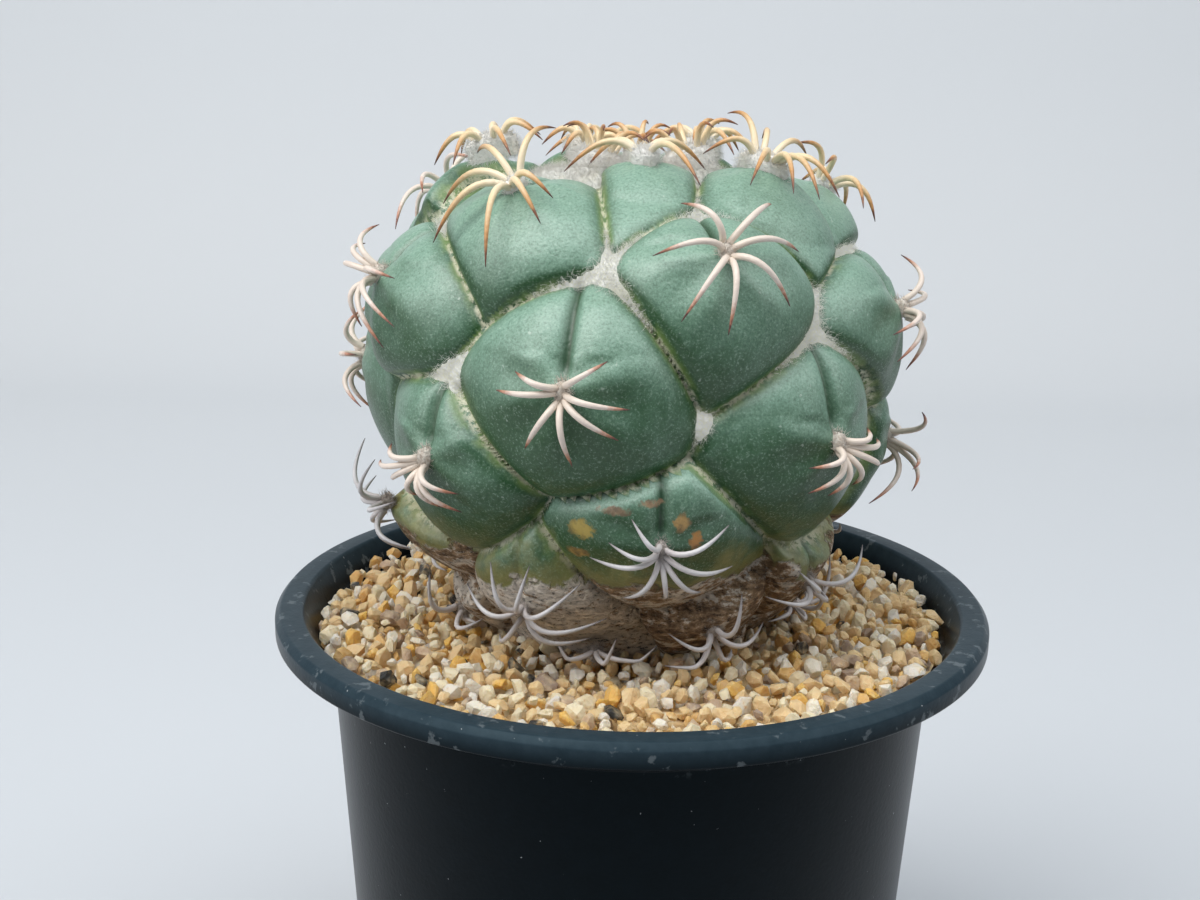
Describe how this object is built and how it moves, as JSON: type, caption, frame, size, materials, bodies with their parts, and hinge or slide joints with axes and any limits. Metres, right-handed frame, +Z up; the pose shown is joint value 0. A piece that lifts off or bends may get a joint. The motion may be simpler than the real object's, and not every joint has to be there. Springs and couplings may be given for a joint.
{
  "type": "potted round cactus",
  "caption": "Round tubercled cactus with curved spine stars and axil wool, standing in quartz gravel in a black tapered plastic nursery pot.",
  "frame": {"origin": "centre of the pot's underside, on the surface that it stands on", "axes": "+Z up along the pot's axis; -Y faces the viewer of the picture"},
  "size_m": [0.13, 0.13, 0.1968],
  "materials": {
    "pot_plastic": "black injection-moulded plastic, satin gloss, fine scratches and dried water spots on the lip",
    "soil": "dark gritty potting mix",
    "gravel": "washed quartz grit in cream, ochre, rust and grey grains",
    "skin": "waxy blue-green plant skin with pale bloom, corky brown at the foot",
    "wool": "white matted plant wool",
    "young_spine": "amber horn with red-brown tip",
    "spine": "bone to pinkish horn with red-brown tip",
    "old_spine": "weathered blue-grey horn"
  },
  "bodies": {
    "root": {"axil_wool_09": "wool", "axil_wool_10": "wool", "axil_wool_11": "wool", "axil_wool_12": "wool", "axil_wool_13": "wool", "axil_wool_14": "wool", "axil_wool_15": "wool", "axil_wool_16": "wool", "axil_wool_17": "wool", "axil_wool_18": "wool", "axil_wool_19": "wool", "axil_wool_20": "wool", "cactus_body": "skin", "crown_wool": "wool", "gravel": "gravel", "pot": "pot_plastic", "soil": "soil", "spine_head_00": "young_spine", "spine_head_01": "young_spine", "spine_head_02": "young_spine", "spine_head_03": "young_spine", "spine_head_04": "young_spine", "spine_head_05": "young_spine", "spine_head_06": "young_spine", "spine_head_07": "young_spine", "spine_head_08": "spine", "spine_head_09": "spine", "spine_head_10": "spine", "spine_head_11": "spine", "spine_head_12": "spine", "spine_head_13": "spine", "spine_head_14": "spine", "spine_head_15": "spine", "spine_head_16": "spine", "spine_head_17": "spine", "spine_head_18": "spine", "spine_head_19": "spine", "spine_head_20": "spine", "spine_head_21": "old_spine", "spine_head_22": "old_spine", "spine_head_23": "old_spine", "spine_head_24": "old_spine", "spine_head_25": "old_spine", "spine_head_26": "old_spine", "spine_head_27": "old_spine", "spine_head_28": "old_spine", "spine_head_29": "old_spine", "spine_head_30": "old_spine", "spine_head_31": "old_spine", "spine_head_32": "old_spine", "spine_head_33": "old_spine", "spine_head_34": "old_spine", "spine_head_35": "old_spine"}
  },
  "joints": []
}
